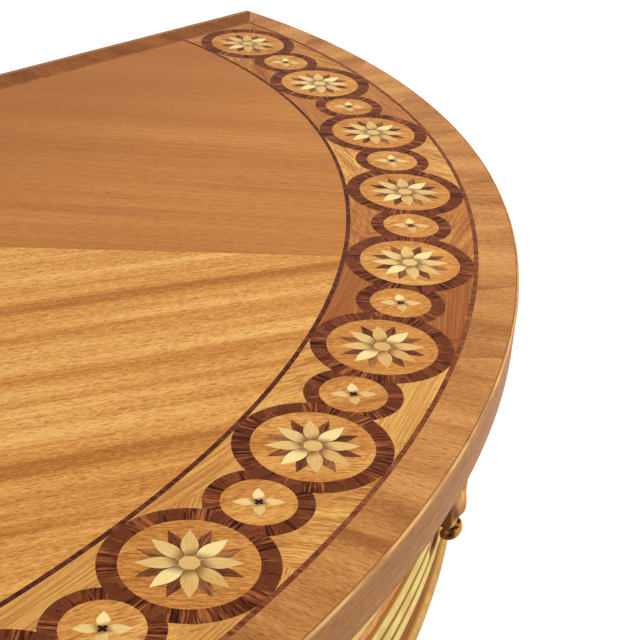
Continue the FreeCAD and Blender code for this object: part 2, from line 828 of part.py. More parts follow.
# bead and upper reeds run from leaf to leaf, the lowest reed passes under the leaves
leaf_width = size("leaf_width")
leaf_gap = float(sheet.get("leaf_gap"))
leaf_clear = leaf_width.value / 2 + leaf_gap
moulding_ends = {
    "right": ("rear_right", "front_right"),
    "centre": ("front_right", "front_left"),
    "left": ("front_left", "rear_left"),
}
low_reed_ends = {"rear_right": torus_end, "rear_left": math.pi - torus_end}
bead_z = under_z - size("bead_drop") - size("bead_radius")
half_reed = size("reed_height") / 2
reed_count = 3
reed_levels = [under_z - size("reed_drop") - half_reed * (2 * index + 1) for index in range(reed_count)]
for region, (start, stop) in moulding_ends.items():
    angles = [stations[label]["angle"] for label in (start, stop)]
    span = (step_along(facing_face, angles[0], leaf_clear), step_along(facing_face, angles[1], -leaf_clear))
    low_span = (low_reed_ends.get(start, step_along(facing_face, angles[0], leaf_gap)),
                low_reed_ends.get(stop, step_along(facing_face, angles[1], -leaf_gap)))
    bead_radius = size("bead_radius")
    keep(round_strip(f"bead_{region}", bead_radius, bead_radius, bead_z, span), f"bead_{region}")
    reeds = [
        round_strip(f"reed_{region}_{index}", half_reed, size("reed_rise"), level,
                    low_span if index == reed_count - 1 else span)
        for index, level in enumerate(reed_levels)
    ]
    keep(group(f"reeds_{region}", reeds), f"reeds_{region}")

# Carved leaves: a broad shoulder, a hollow waist and a tip that curls forward
# (share of height, share of width, share of projection) from the tip upwards

leaf_sections = [
    (0.00, 0.46, 0.50),
    (0.10, 0.62, 0.98),
    (0.24, 0.70, 0.94),
    (0.42, 0.80, 0.56),
    (0.70, 0.96, 0.52),
    (1.00, 1.00, 0.42),
]


def carved_leaf(name, frame):
    body = doc.addObject("PartDesign::Body", name)
    bottom = under_z - size("leaf_drop") - size("leaf_height")
    sketches = []
    for index, (rise, spread, stand) in enumerate(leaf_sections):
        plan = sketch_on(body, "XY_Plane", f"{name}_plan_{index}", bottom + size("leaf_height") * rise)
        half = leaf_width * spread / 2
        outline(plan, [(0 - half, 0, 0), (half, 0, size("leaf_projection") * stand)])
        sketches.append(plan)
    loft = body.newObject("PartDesign::AdditiveLoft", name + "_form")
    loft.Profile = sketches[0]
    loft.Sections = sketches[1:]
    body.Placement = frame
    return body


for label, station in stations.items():
    keep(carved_leaf(f"leaf_{label}", station["leaf"]), f"leaf_{label}")

doc.recompute()
for obj in doc.Objects:
    if "Invalid" in obj.State or "Error" in obj.State:
        raise RuntimeError(f"{obj.Label} failed: {obj.State}")
for part in parts:
    if part.Shape.isNull() or not part.Shape.isValid():
        raise RuntimeError(f"{part.Label} has no valid shape")

os.makedirs("parts", exist_ok=True)
for part in parts:
    part.Shape.exportStep(f"parts/{part.Label}.step")
    print(part.Label, len(part.Shape.Solids), round(part.Shape.Volume))
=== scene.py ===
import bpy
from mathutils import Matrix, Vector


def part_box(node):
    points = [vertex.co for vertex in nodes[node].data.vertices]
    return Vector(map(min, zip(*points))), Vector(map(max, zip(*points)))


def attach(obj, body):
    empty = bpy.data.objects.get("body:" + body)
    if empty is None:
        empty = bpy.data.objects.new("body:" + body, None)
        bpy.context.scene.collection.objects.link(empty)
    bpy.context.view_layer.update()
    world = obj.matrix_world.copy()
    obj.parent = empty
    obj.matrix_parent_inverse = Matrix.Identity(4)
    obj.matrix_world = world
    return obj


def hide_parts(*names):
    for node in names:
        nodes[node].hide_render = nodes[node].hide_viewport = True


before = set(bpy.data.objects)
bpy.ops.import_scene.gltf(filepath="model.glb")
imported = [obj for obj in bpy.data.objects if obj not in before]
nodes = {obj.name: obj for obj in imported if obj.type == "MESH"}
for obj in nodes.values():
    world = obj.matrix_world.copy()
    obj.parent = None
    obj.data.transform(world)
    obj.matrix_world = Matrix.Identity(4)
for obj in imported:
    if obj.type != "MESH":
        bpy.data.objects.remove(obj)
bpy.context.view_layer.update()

from math import asin, atan2, cos, exp, hypot, pi, radians, sin, sqrt, tau
import bmesh
import bpy
from mathutils import Matrix, Vector

scene = bpy.context.scene
print("frame loaded with", len(nodes), "nodes")

# plan of the table: every bowed line is a half ellipse set in from the rim
rimLow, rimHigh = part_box("edge_lipping")
halfWidth = rimHigh.x
frontY = rimLow.y
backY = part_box("back_lipping")[1].y
depth = backY - frontY
topZ, underZ = rimHigh.z, rimLow.z
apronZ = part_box("frieze_facing")[0].z
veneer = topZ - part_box("large_rings")[0].z
mm = 0.001
hair = 0.02 * mm                                    # step between veneers that lap
quarter = pi / 2


def insetOf(node):
    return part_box(node)[0].y - frontY


def bowPoint(inset, angle):
    return Vector(((halfWidth - inset) * cos(angle), backY - (depth - inset) * sin(angle), 0))


def bowNormal(inset, angle):
    return Vector((cos(angle) / (halfWidth - inset), -sin(angle) / (depth - inset), 0)).normalized()


def bowRun(inset, first, last, steps):
    return [bowPoint(inset, first + (last - first) * step / steps).xy for step in range(steps + 1)]


def backAngle(inset, setIn):
    # angle along the bow at this distance from the back edge
    return asin(setIn / (depth - inset))


def polar(radius, angle):
    return radius * cos(angle), radius * sin(angle)


# sockets as values in the tree that is being built: arithmetic adds Math nodes, add() makes any other node
class Sock:
    tree = None

    def __init__(self, socket):
        self.socket = socket

    @classmethod
    def add(cls, kind, inputs=None, output=0, **settings):
        node = cls.tree.nodes.new(kind)
        for name, value in settings.items():
            if name == "stops":
                cls.fillRamp(node.color_ramp, value)
            else:
                setattr(node, name, value)
        cls.feed(node, inputs or {})
        return cls(cls.find(node.outputs, output))

    @classmethod
    def feed(cls, node, inputs):
        for name, value in inputs.items():
            target = cls.find(node.inputs, name)
            for source in value if isinstance(value, list) else [value]:
                if isinstance(source, Sock):
                    cls.tree.links.new(source.socket, target)
                else:
                    target.default_value = source

    @staticmethod
    def find(sockets, name):
        for socket in sockets:
            if socket.identifier == name:
                return socket
        return sockets[name]

    @staticmethod
    def fillRamp(ramp, stops):
        while len(ramp.elements) < len(stops):
            ramp.elements.new(1)
        for element, (place, colour) in zip(ramp.elements, stops):
            element.position = place
            element.color = colour

    def out(self, name):
        return Sock(self.socket.node.outputs[name])

    def math(self, operation, *values):
        return Sock.add("ShaderNodeMath", dict(enumerate(values)), operation=operation)

    def vector(self, operation, other):
        return Sock.add("ShaderNodeVectorMath", {0: self, 1: other}, operation=operation)

    def ramp(self, low, high, start=0.0, end=1.0):
        span = {"Value": self, "From Min": low, "From Max": high, "To Min": start, "To Max": end}
        return Sock.add("ShaderNodeMapRange", span, interpolation_type="SMOOTHSTEP")

    def blend(self, first, second):
        colours = {"Factor_Float": self, "A_Color": first, "B_Color": second}
        return Sock.add("ShaderNodeMix", colours, "Result_Color", data_type="RGBA")

    def __add__(self, other):
        return self.math("ADD", self, other)

    def __radd__(self, other):
        return self.math("ADD", other, self)

    def __sub__(self, other):
        return self.math("SUBTRACT", self, other)

    def __rsub__(self, other):
        return self.math("SUBTRACT", other, self)

    def __mul__(self, other):
        return self.math("MULTIPLY", self, other)

    def __rmul__(self, other):
        return self.math("MULTIPLY", other, self)

    def __truediv__(self, other):
        return self.math("DIVIDE", self, other)

    def __rtruediv__(self, other):
        return self.math("DIVIDE", other, self)


def objectSpace():
    return Sock.add("ShaderNodeTexCoord", output="Object")


def axisOf(space, name):
    return Sock.add("ShaderNodeSeparateXYZ", {0: space}, output=name)


def combine(x=0, y=0, z=0):
    return Sock.add("ShaderNodeCombineXYZ", {"X": x, "Y": y, "Z": z})


# materials


def tint(red, green, blue):
    # a screen colour, 0 to 255, as a linear shader colour
    linear = [((level / 255 + 0.055) / 1.055) ** 2.4 for level in (red, green, blue)]
    return (*linear, 1)


def newMaterial(name):
    material = bpy.data.materials.new(name)
    material.use_nodes = True
    Sock.tree = material.node_tree
    return material, Sock.tree.nodes["Principled BSDF"]


def carried(name, output="Fac"):
    return Sock.add("ShaderNodeAttribute", output=output, attribute_name=name)


def noise(space, stretch, detail=2.0, roughness=0.5):
    place = space.vector("MULTIPLY", stretch)
    return Sock.add("ShaderNodeTexNoise", {
        "Vector": place, "Scale": 1.0, "Detail": detail, "Roughness": roughness})


def bumped(strength, height, level):
    return Sock.add("ShaderNodeBump", {"Strength": strength, "Distance": height, "Height": level})


pieceShift = (2.9, 1.3, 7.3)                        # moves the figure on from piece to piece, in metres


def grainSpace(turn=None):
    # (along the grain, across it, piece): from the piece's attributes, or turned object space
    if turn is None:
        chance = carried("seed") + carried("pick")
        seed = chance.math("FRACT", chance)
        lift = combine(*(seed * shift for shift in pieceShift))
        return carried("grain", "Vector").vector("ADD", lift), seed
    return Sock.add("ShaderNodeMapping", {"Vector": objectSpace(), "Rotation": turn}), None


# what the woods share where a look says nothing else
woodFinish = {
    "poreFade": 0.1, "rub": (26, 90, 1), "rubEdges": (0.35, 0.62, 0.15, 1.0), "bump": 0.1,
    "bumpHeight": 0.2 * mm, "lineRough": 0.12, "poreRough": 0.1, "sheen": 0.08,
}


def woodMaterial(look, turn=None):
    # lines and bands along the grain, short flecks, dark pores; shades are dark, middle, light and pores
    look = {**woodFinish, **look}
    material, shader = newMaterial(look["name"])
    space, seed = grainSpace(turn)
    dark, middle, light, deep = (tint(*shade) for shade in look["shades"])
    line = noise(space, look["line"], detail=3.0, roughness=0.6)
    band = noise(space, look["band"], detail=1.0)
    fleck = noise(space, look["fleck"], roughness=0.6)
    pores = noise(space, look["pore"], detail=1.0)
    pores = pores.ramp(look["poreEdge"], look["poreEdge"] + look["poreFade"])
    lines, bands, flecks = look["depths"]
    body = 0.5 + (line - 0.5) * lines + (band - 0.5) * bands + (fleck - 0.5) * flecks
    if seed is not None:
        body = body + (seed - 0.5) * look["pieceChange"]
    stops = [(0.0, dark), (0.5, middle), (1.0, light)]
    colour = Sock.add("ShaderNodeValToRGB", {"Fac": body}, "Color", stops=stops)
    colour = (pores * look["poreDepth"]).blend(colour, deep)
    if "aged" in look:
        # painted shade: darker towards the back edge, where less light falls
        low, high, share = look["aged"]
        wall = axisOf(objectSpace(), "Y")
        colour = (wall.ramp(backY - low, backY - high) * share).blend(colour, dark)
    # lighter along the arris: worn wood and a painted highlight; below 0 darker with dirt
    if "worn" in look:
        wear = carried("hollow")
        rubbed = noise(space, look["rub"]).ramp(*look["rubEdges"])
        colour = (wear * rubbed).blend(colour, tint(*look["worn"]))
        colour = (0 - wear).blend(colour, deep)
    Sock.feed(shader, {
        "Base Color": colour, "Specular IOR Level": look["sheen"],
        "Roughness": look["gloss"] + look["lineRough"] * line + look["poreRough"] * pores,
        "Normal": bumped(look["bump"], look["bumpHeight"], 1 - pores)})
    return material


fieldLook = {
    "name": "satinwoodGold", "shades": [(174, 104, 42), (213, 144, 69), (240, 184, 104), (144, 84, 38)],
    "line": (7, 420, 1), "band": (2.4, 62, 1), "fleck": (380, 1100, 1), "pore": (170, 1200, 1),
    "depths": (1.0, 1.75, 1.4), "poreEdge": 0.6, "poreDepth": 0.6, "pieceChange": 0.1, "gloss": 0.42,
}
redLook = {
    **fieldLook, "name": "satinwoodRed",
    "shades": [(166, 96, 40), (194, 125, 59), (214, 148, 76), (126, 72, 34)],
    "line": (5, 330, 1), "band": (1.6, 30, 1), "fleck": (170, 900, 1), "pore": (110, 1000, 1),
    # painted shade towards the back edge, on the outer panels
    "depths": (0.9, 0.8, 0.9), "poreEdge": 0.63, "poreDepth": 0.5, "aged": (0.23, 0.045, 0.65),
}
crossLook = {
    "name": "crossbanding", "shades": [(156, 95, 48), (192, 128, 67), (216, 153, 87), (120, 72, 38)],
    "line": (22, 420, 1), "band": (9, 44, 1), "fleck": (300, 900, 1), "pore": (260, 1400, 1),
    "depths": (0.9, 1.8, 1.2), "poreEdge": 0.57, "poreDepth": 0.5, "pieceChange": 0.2, "gloss": 0.42,
}
# a darker copy of the crossbanding for the back strip: painted shade towards the back edge
backCrossShadeLook = {
    **crossLook, "name": "backCrossbanding", "sheen": 0.03,
    "shades": [(118, 62, 24), (146, 82, 34), (168, 104, 48), (94, 50, 22)],
}
groundLook = {
    "name": "satinwoodGround", "shades": [(164, 96, 38), (212, 143, 68), (238, 184, 102), (130, 74, 30)],
    "line": (20, 560, 1), "band": (16, 80, 1), "fleck": (260, 900, 1), "pore": (200, 1700, 1),
    "depths": (0.9, 0.8, 1.3), "poreEdge": 0.56, "poreDepth": 0.6, "pieceChange": 0.22, "gloss": 0.42,
}
bandLook = {
    **groundLook, "name": "satinwoodBand", "pieceChange": 1.0, "depths": (1.5, 1.0, 0.9), "poreDepth": 0.5,
    "shades": [(144, 74, 33), (192, 122, 57), (236, 180, 96), (116, 60, 28)],
}
roseLook = {
    "name": "rosewood", "sheen": 0.04, "shades": [(42, 14, 7), (112, 50, 24), (172, 100, 57), (32, 11, 6)],
    "line": (40, 620, 1), "band": (30, 170, 1), "fleck": (300, 1700, 1), "pore": (140, 1500, 1),
    "depths": (3.6, 0.7, 0.8), "poreEdge": 0.54, "poreDepth": 0.75, "pieceChange": 0.25, "gloss": 0.45,
}
stringLook = {
    **roseLook, "name": "stringing", "line": (60, 330, 1), "pieceChange": 0.1, "depths": (1.3, 0.8, 0.8),
    "shades": [(92, 42, 24), (132, 70, 40), (172, 108, 66), (64, 30, 18)],
}
backLook = {
    **stringLook, "name": "backStringing",
    "shades": [(120, 68, 38), (152, 94, 52), (180, 118, 70), (100, 56, 32)],
}
innerLook = {
    **stringLook, "name": "innerStringing",
    "shades": [(56, 22, 14), (90, 42, 26), (140, 82, 52), (40, 18, 10)],
}
pointLook = {
    **roseLook, "name": "flowerPoints", "pieceChange": 0.7, "depths": (1.4, 0.5, 0.8),
    "shades": [(84, 42, 26), (128, 72, 44), (182, 120, 72), (64, 30, 18)],
}
eyeLook = {
    **roseLook, "name": "burntEye", "pieceChange": 0.1,
    "shades": [(28, 14, 10), (48, 24, 14), (84, 46, 26), (20, 10, 8)],
}
edgeLook = {
    **crossLook, "name": "edgeWood", "worn": (224, 174, 106), "pieceChange": 0, "depths": (1.0, 0.7, 0.7),
    "line": (4, 480, 1), "band": (2, 120, 1), "fleck": (120, 900, 1), "pore": (90, 1400, 1), "sheen": 0.05,
    "shades": [(136, 86, 46), (166, 113, 67), (186, 135, 86), (100, 60, 34)],
}
backEdgeLook = {
    **{key: value for key, value in edgeLook.items() if key != "worn"},
    "name": "backEdge", "line": (4, 480, 480), "fleck": (120, 900, 900), "pore": (90, 1400, 1400),
}
carcaseLook = {
    "name": "carcaseWood", "shades": [(148, 106, 66), (180, 136, 90), (206, 164, 116), (112, 76, 46)],
    "line": (3, 240, 240), "band": (1.5, 40, 40), "fleck": (60, 700, 700), "pore": (50, 1100, 1100),
    "depths": (1.2, 1.0, 0.8), "poreEdge": 0.6, "poreDepth": 0.35, "gloss": 0.62, "sheen": 0.12,
}

petalLook = {
    "pale": (252, 226, 156), "warm": (212, 160, 86), "scorch": (108, 62, 26), "streak": (70, 900, 1),
    "pieceChange": 0.25, "streakTone": 0.7, "streakBurn": 0.3, "burnEdges": (0.15, 1.1), "burnDepth": 0.85,
}


def petalMaterial(look):
    # pale wood, scorched in hot sand towards the heart of the flower
    material, shader = newMaterial("shadedBoxwood")
    pale, warm, scorch = (tint(*look[name]) for name in ("pale", "warm", "scorch"))
    space, seed = grainSpace()
    streak = noise(space, look["streak"])
    # a petal's tone holds a painted sheen that follows its direction; the button's tone is its own
    tone = carried("tone") + (seed - 0.5) * look["pieceChange"] + (streak - 0.5) * look["streakTone"]
    burn = carried("burn") + (streak - 0.5) * look["streakBurn"]
    colour = tone.blend(warm, pale)
    colour = (burn.ramp(*look["burnEdges"]) * look["burnDepth"]).blend(colour, scorch)
    Sock.feed(shader, {
        "Base Color": colour, "Roughness": 0.4 + 0.1 * streak, "Specular IOR Level": 0.1})
    return material


# its own colours serve the beads and reeds: gold made paler and greener with a painted highlight
goldLook = {
    "name": "gilding", "high": (228, 205, 116), "low": (208, 174, 88), "bole": (142, 88, 34), "metal": 0.2,
    "unrest": 0.4, "wear": 0.35, "cloud": (70, 70, 70), "grit": (520, 520, 520), "cloudEdges": (0.35, 0.7),
    "wearEdges": (0.58, 0.76), "dirtAndShadeEdges": (0.3, 0.8), "dirtAndShadeDepth": 0.92, "bump": 0.15,
    "bumpHeight": 0.3 * mm,
}
baseLook = {
    **goldLook, "name": "baseGilding", "high": (236, 192, 114), "low": (216, 166, 88), "bole": (132, 76, 32),
    "unrest": 0.3, "wear": 0.25,
}
torusLook = {**baseLook, "name": "torusGilding", "high": (196, 154, 86), "low": (176, 132, 66)}
leafLook = {
    **goldLook, "name": "leafGilding", "high": (222, 164, 80), "low": (182, 120, 48), "bole": (98, 52, 20),
    "unrest": 0.5, "cloud": (110, 110, 110),
}
toneLook = {
    **goldLook, "name": "tonedGilding", "high": (222, 152, 74), "low": (190, 118, 50), "bole": (138, 80, 30),
    "metal": 0.1, "unrest": 0.8, "wear": 0.6, "cloud": (160, 160, 160),
    "groove": (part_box("base_torus")[1].z - mm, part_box("reeds_centre")[0].z + mm),
}


def giltMaterial(look):
    # leaf over bole: bright where rubbed, brown with dirt in the hollows, and with painted shade in the
    # apron's groove and the leaf's roll
    material, shader = newMaterial(look["name"])
    low, high, bole = (tint(*look[name]) for name in ("low", "high", "bole"))
    space = objectSpace()
    cloud = noise(space, look["cloud"], detail=3.0, roughness=0.55)
    grit = noise(space, look["grit"], detail=3.0, roughness=0.6)
    dirtAndShade = (carried("hollow") + (cloud - 0.5) * look["unrest"]).ramp(*look["dirtAndShadeEdges"])
    if "groove" in look:
        # painted shade in the groove between these two heights too
        bottom, top = look["groove"]
        level = axisOf(space, "Z")
        groove = level.ramp(bottom - mm, bottom + mm) * (1 - level.ramp(top - mm, top + mm))
        dirtAndShade = dirtAndShade.math("MAXIMUM", dirtAndShade, groove)
    colour = cloud.ramp(*look["cloudEdges"]).blend(low, high)
    colour = (grit.ramp(*look["wearEdges"]) * look["wear"]).blend(colour, bole)
    colour = (dirtAndShade * look["dirtAndShadeDepth"]).blend(colour, bole)
    Sock.feed(shader, {
        "Base Color": colour, "Metallic": look["metal"] * (1 - 0.9 * dirtAndShade), "Specular IOR Level": 0.1,
        "Roughness": 0.42 + 0.2 * grit + 0.2 * dirtAndShade,
        "Normal": bumped(look["bump"], look["bumpHeight"], grit)})
    return material


steelLook = {
    "bright": (168, 166, 162), "dull": (120, 106, 92), "cloud": (300, 300, 300), "dullEdges": (0.4, 0.8),
}


def steelMaterial(look):
    material, shader = newMaterial("plainSteel")
    cloud = noise(objectSpace(), look["cloud"], detail=3.0)
    colour = cloud.ramp(*look["dullEdges"]).blend(tint(*look["bright"]), tint(*look["dull"]))
    Sock.feed(shader, {"Base Color": colour, "Metallic": 0.9, "Roughness": 0.35 + 0.3 * cloud})
    return material


alongX, alongY = (0, 0, 0), (0, 0, quarter)
satinField, satinRed = woodMaterial(fieldLook), woodMaterial(redLook)
crossBand, backCross = woodMaterial(crossLook), woodMaterial(backCrossShadeLook)
satinGround, satinBand = woodMaterial(groundLook), woodMaterial(bandLook)
rosewood, stringWood = woodMaterial(roseLook), woodMaterial(stringLook)
innerWood, backWood = woodMaterial(innerLook), woodMaterial(backLook)
pointWood, burntEye = woodMaterial(pointLook), woodMaterial(eyeLook)
edgeWood, backEdge = woodMaterial(edgeLook), woodMaterial(backEdgeLook, alongX)
carcaseAlong = woodMaterial(carcaseLook, alongX)
carcaseDeep = woodMaterial({**carcaseLook, "name": "carcaseWoodDeep"}, alongY)
boxwood = petalMaterial(petalLook)
highlitGilt, baseGilt, torusGilt = giltMaterial(goldLook), giltMaterial(baseLook), giltMaterial(torusLook)
leafGilt, friezeGilt = giltMaterial(leafLook), giltMaterial(toneLook)
steel = steelMaterial(steelLook)
print("materials made")


# mesh helpers


def pieceName(node):
    first, *rest = node.split("_")
    return first + "".join(word.title() for word in rest)


def linkPiece(name, data):
    piece = bpy.data.objects.new(name, data)
    scene.collection.objects.link(piece)
    return piece


def store(mesh, kind, **rows):
    for name, values in rows.items():
        attribute = mesh.attributes.new(name, kind, "POINT")
        attribute.data.foreach_set("vector" if kind == "FLOAT_VECTOR" else "value", values)


def hollowed(name, verts, edges, faces, hollows):
    # a mesh that carries how much dirt or wear there is at each corner, with painted shade in the leaf's roll
    # and a painted highlight on the lipping's arris
    mesh = bpy.data.meshes.new(name)
    mesh.from_pydata(verts, edges, faces)
    store(mesh, "FLOAT", hollow=hollows)
    return linkPiece(name, mesh)


def settle(piece, node, smooth=None):
    # join up, turn faces outwards, shade smooth below this angle, and hand the piece to the frame
    shape = bmesh.new()
    shape.from_mesh(piece.data)
    bmesh.ops.remove_doubles(shape, verts=shape.verts, dist=1e-7)
    bmesh.ops.recalc_face_normals(shape, faces=shape.faces)
    for vert in shape.verts:
        vert.co.y = min(vert.co.y, backY)
        vert.co.z = min(vert.co.z, topZ)
    for face in shape.faces:
        face.smooth = smooth is not None
    if smooth is not None:
        for edge in shape.edges:
            edge.smooth = len(edge.link_faces) == 2 and edge.calc_face_angle(0) < radians(smooth)
    shape.to_mesh(piece.data)
    shape.free()
    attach(piece, "root")
    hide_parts(node)


def inlayMesh(name, pieces, top, thickness):
    # flat pieces: each a dict with its outline and what it carries at each corner
    verts, faces = [], []
    grain, seed, tone, burn = [], [], [], []
    for piece in pieces:
        start, count = len(verts), len(piece["outline"])
        for level in (top, top - thickness):
            for x, y in piece["outline"]:
                verts.append((x, y, level))
                grain.extend(piece["grain"](x, y))
                seed.append(piece.get("seed", 0.5))
                tone.append(piece.get("tone", 0.5))
                burn.append(piece["burn"](x, y) if "burn" in piece else 0.0)
        upper = list(range(start, start + count))
        lower = [corner + count for corner in upper]
        faces += [upper, lower[::-1]]
        for index in range(count):
            after = (index + 1) % count
            faces.append((upper[index], lower[index], lower[after], upper[after]))
    mesh = bpy.data.meshes.new(name)
    mesh.from_pydata(verts, [], faces)
    store(mesh, "FLOAT_VECTOR", grain=grain)
    store(mesh, "FLOAT", seed=seed, tone=tone, burn=burn)
    return mesh


def inlaid(name, node, pieces, material, drop=0):
    # level with the top, or so many hairs under it
    piece = linkPiece(name, inlayMesh(name, pieces, topZ - drop * hair, veneer - drop * hair))
    piece.data.materials.append(material)
    settle(piece, node)


def alongGrain(direction):
    cosine, sine = cos(direction), sin(direction)

    def grain(x, y):
        return x * cosine + y * sine, y * cosine - x * sine, 0

    return grain


# node trees that lay pieces along the bow
planSizes = {"Half width": halfWidth, "Depth": depth, "Back": backY}


def newTree(name, sizes, counts, objects=()):
    # every tree takes the sizes of the plan and a material too
    tree = Sock.tree = bpy.data.node_groups.new(name, "GeometryNodeTree")
    kinds = {"Float": [*planSizes, *sizes], "Int": counts, "Object": objects, "Material": ["Material"]}
    for kind, labels in kinds.items():
        for label in labels:
            tree.interface.new_socket(label, in_out="INPUT", socket_type="NodeSocket" + kind)
    tree.interface.new_socket("Geometry", in_out="OUTPUT", socket_type="NodeSocketGeometry")
    entry = tree.nodes.new("NodeGroupInput")
    return {label: Sock(entry.outputs[label]) for labels in kinds.values() for label in labels}


def closeTree(geometry, given):
    real = Sock.add("GeometryNodeRealizeInstances", {"Geometry": geometry})
    done = Sock.add("GeometryNodeSetMaterial", {"Geometry": real, "Material": given["Material"]})
    Sock.feed(Sock.tree.nodes.new("NodeGroupOutput"), {0: done})
    return Sock.tree


def growPiece(name, tree, material, values):
    values = {**planSizes, **values, "Material": material}
    piece = linkPiece(name, bpy.data.meshes.new(name + "Seed"))
    modifier = piece.modifiers.new("grow", "NODES")
    modifier.node_group = tree
    for item in tree.interface.items_tree:
        if item.in_out == "INPUT":
            modifier[item.identifier] = values[item.name]
    graph = bpy.context.evaluated_depsgraph_get()
    mesh = bpy.data.meshes.new_from_object(piece.evaluated_get(graph), depsgraph=graph)
    piece.modifiers.remove(modifier)
    piece.data = mesh
    mesh.name = name
    return piece


def named(geometry, name, kind, value, domain="POINT"):
    return Sock.add("GeometryNodeStoreNamedAttribute", {"Geometry": geometry, "Name": name, "Value": value},
                    data_type=kind, domain=domain)


def chanceOf(inputs):
    return Sock.add("FunctionNodeRandomValue", inputs, "Value_001", data_type="FLOAT")


def shapeOf(source):
    return Sock.add("GeometryNodeObjectInfo", {"Object": source}, output="Geometry")


def movedTo(geometry, spot):
    return Sock.add("GeometryNodeSetPosition", {"Geometry": geometry, "Position": spot})


def bowPath(given, steps, start, sweep):
    # a unit arc drawn out to the half ellipse at this inset
    arc = Sock.add("GeometryNodeCurveArc", {
        "Resolution": steps, "Radius": 1.0, "Start Angle": start, "Sweep Angle": sweep}, mode="RADIUS")
    reach = combine(given["Half width"] - given["Inset"], given["Depth"] - given["Inset"])
    lift = combine(0, given["Back"], given["Height"])
    here = Sock.add("GeometryNodeInputPosition")
    spot = here.vector("MULTIPLY", reach).vector("ADD", lift)
    return movedTo(arc, spot)


def stripTree():
    # a flat strip between two insets, cut into pieces, its ends square to the back edge or mitred
    given = newTree(
        "bowStrip", ["Outer inset", "Inner inset", "Margin", "Mitre", "Top", "Thickness", "Pieces"],
        ["Columns", "Rows", "Seed"])
    grid = Sock.add("GeometryNodeMeshGrid", {
        "Size X": 1.0, "Size Y": 1.0, "Vertices X": given["Columns"], "Vertices Y": given["Rows"]})
    share = axisOf(grid.out("UV Map"), "X")
    width = (given["Inner inset"] - given["Outer inset"]) * share.out("Y")
    inset = given["Outer inset"] + width
    sine = (given["Margin"] + width * given["Mitre"]) / (given["Depth"] - inset)
    start = sine.math("ARCSINE", sine)
    angle = start + (pi - 2 * start) * share
    x = (given["Half width"] - inset) * angle.math("COSINE", angle)
    y = given["Back"] - (given["Depth"] - inset) * angle.math("SINE", angle)
    run = angle * (given["Half width"] + given["Depth"]) * 0.5
    number = given["Pieces"] * share
    chance = chanceOf({"ID": number.math("FLOOR", number), "Seed": given["Seed"]})
    laid = named(grid, "seed", "FLOAT", chance, "FACE")
    laid = named(laid, "grain", "FLOAT_VECTOR", combine(inset, run))
    laid = movedTo(laid, combine(x, y, given["Top"]))
    down = combine(z=0 - given["Thickness"])
    walls = Sock.add("GeometryNodeExtrudeMesh", {
        "Mesh": laid, "Offset": down, "Offset Scale": 1.0, "Individual": False}, mode="FACES")
    both = Sock.add("GeometryNodeJoinGeometry", {"Geometry": [laid, walls]})
    whole = Sock.add("GeometryNodeMergeByDistance", {"Geometry": both, "Distance": 1e-6})
    return closeTree(whole, given)


def rodTree():
    # a moulding: a profile carried along the bow
    given = newTree("bowMoulding", ["Inset", "First angle", "Last angle", "Height"], ["Steps"], ["Profile"])
    sweep = given["Last angle"] - given["First angle"]
    path = bowPath(given, given["Steps"], 0 - given["Last angle"], sweep)
    path = Sock.add("GeometryNodeSetCurveNormal", {"Curve": path}, mode="Z_UP")
    path = named(path, "run", "FLOAT", Sock.add("GeometryNodeSplineParameter", output="Length"))
    profile = Sock.add("GeometryNodeMeshToCurve", {"Mesh": shapeOf(given["Profile"])})
    rod = Sock.add("GeometryNodeCurveToMesh",
                   {"Curve": path, "Profile Curve": profile, "Fill Caps": True})
    run = Sock.add("GeometryNodeInputNamedAttribute", {"Name": "run"}, data_type="FLOAT")
    level = axisOf(Sock.add("GeometryNodeInputPosition"), "Z")
    rod = named(rod, "grain", "FLOAT_VECTOR", combine(run, level))
    return closeTree(rod, given)


def roundelTree():
    # copies of one source at even steps along the middle of the band, every second step
    given = newTree("roundels", ["Inset", "First", "Height"], ["Steps", "Count", "Odd", "Seed"], ["Source"])
    path = bowPath(given, given["Steps"], pi, pi)
    length = Sock.add("GeometryNodeCurveLength", {"Curve": path})
    path = Sock.add("GeometryNodeTrimCurve", {
        "Curve": path, "Start_001": given["First"], "End_001": length - given["First"]}, mode="LENGTH")
    path = Sock.add("GeometryNodeResampleCurve", {"Curve": path, "Count": given["Count"]}, mode="COUNT")
    index = Sock.add("GeometryNodeInputIndex")
    apart = index.math("MODULO", index, 2) - given["Odd"]
    chosen = 1 - apart.math("ABSOLUTE", apart)
    copies = Sock.add("GeometryNodeInstanceOnPoints", {
        "Points": path, "Selection": chosen, "Instance": shapeOf(given["Source"])})
    copies = named(copies, "pick", "FLOAT", chanceOf({"Seed": given["Seed"]}), "INSTANCE")
    return closeTree(copies, given)


bowStrip, bowMoulding, roundels = stripTree(), rodTree(), roundelTree()
print("node trees built")

# marquetry of the top: where its lines run, set in from the rim
bandStart, bandEnd = insetOf("large_rings"), insetOf("inner_stringing")
bandMiddle = (bandStart + bandEnd) / 2
topLines = {
    "arris": 2 * mm, "lipping": insetOf("rim_crossband"), "border": insetOf("outer_stringing"),
    "bandStart": bandStart, "bandEnd": bandEnd, "fieldStart": insetOf("field_panel_centre_right"),
}
stripSettings = {"Columns": 361, "Rows": 3, "Seed": 4, "Top": topZ, "Thickness": veneer}


def strip(name, node, outer, inner, ends, material, pieces=1.0):
    # each end is cut at these distances from the back edge, at the outer and the inner side
    outer, inner = topLines[outer], topLines[inner]
    first, last = (topLines[line] for line in ends)
    piece = growPiece(name, bowStrip, material, {
        **stripSettings, "Outer inset": outer, "Inner inset": inner, "Margin": first,
        "Mitre": (last - first) / (inner - outer), "Pieces": pieces})
    settle(piece, node)


